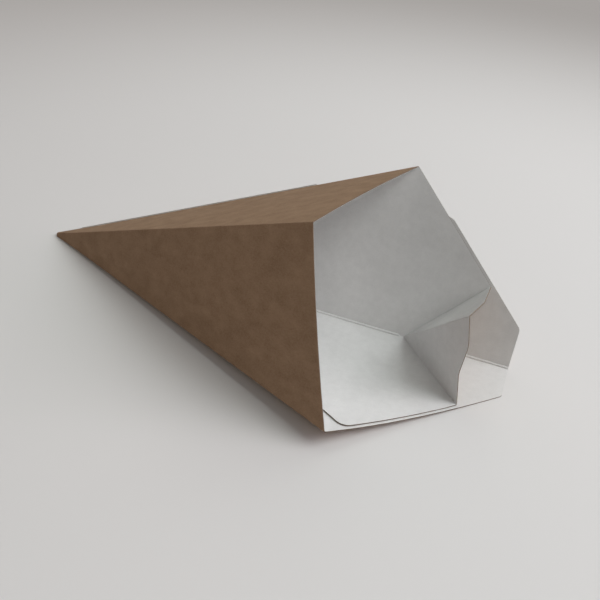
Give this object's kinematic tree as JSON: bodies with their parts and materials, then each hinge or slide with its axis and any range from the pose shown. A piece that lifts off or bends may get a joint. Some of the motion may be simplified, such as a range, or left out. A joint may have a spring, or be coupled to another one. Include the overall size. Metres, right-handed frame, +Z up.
{
  "type": "sushi cone box",
  "caption": "Folded card cone for a hand roll: a four-sided pointed cone with an oblique open mouth and a folded-in corner that makes a sauce pocket.",
  "frame": {"origin": "under the middle of the cone's bounding box, on the surface that it lies on", "axes": "+X along the fold between floor and back, from the tip towards the mouth; +Z up from the floor face; -Y towards the front face"},
  "size_m": [0.2152, 0.0932, 0.0666],
  "materials": {
    "kraft_card": "matte brown kraft outside, white board inside"
  },
  "bodies": {
    "root": {"card_cone": "kraft_card"}
  },
  "joints": []
}
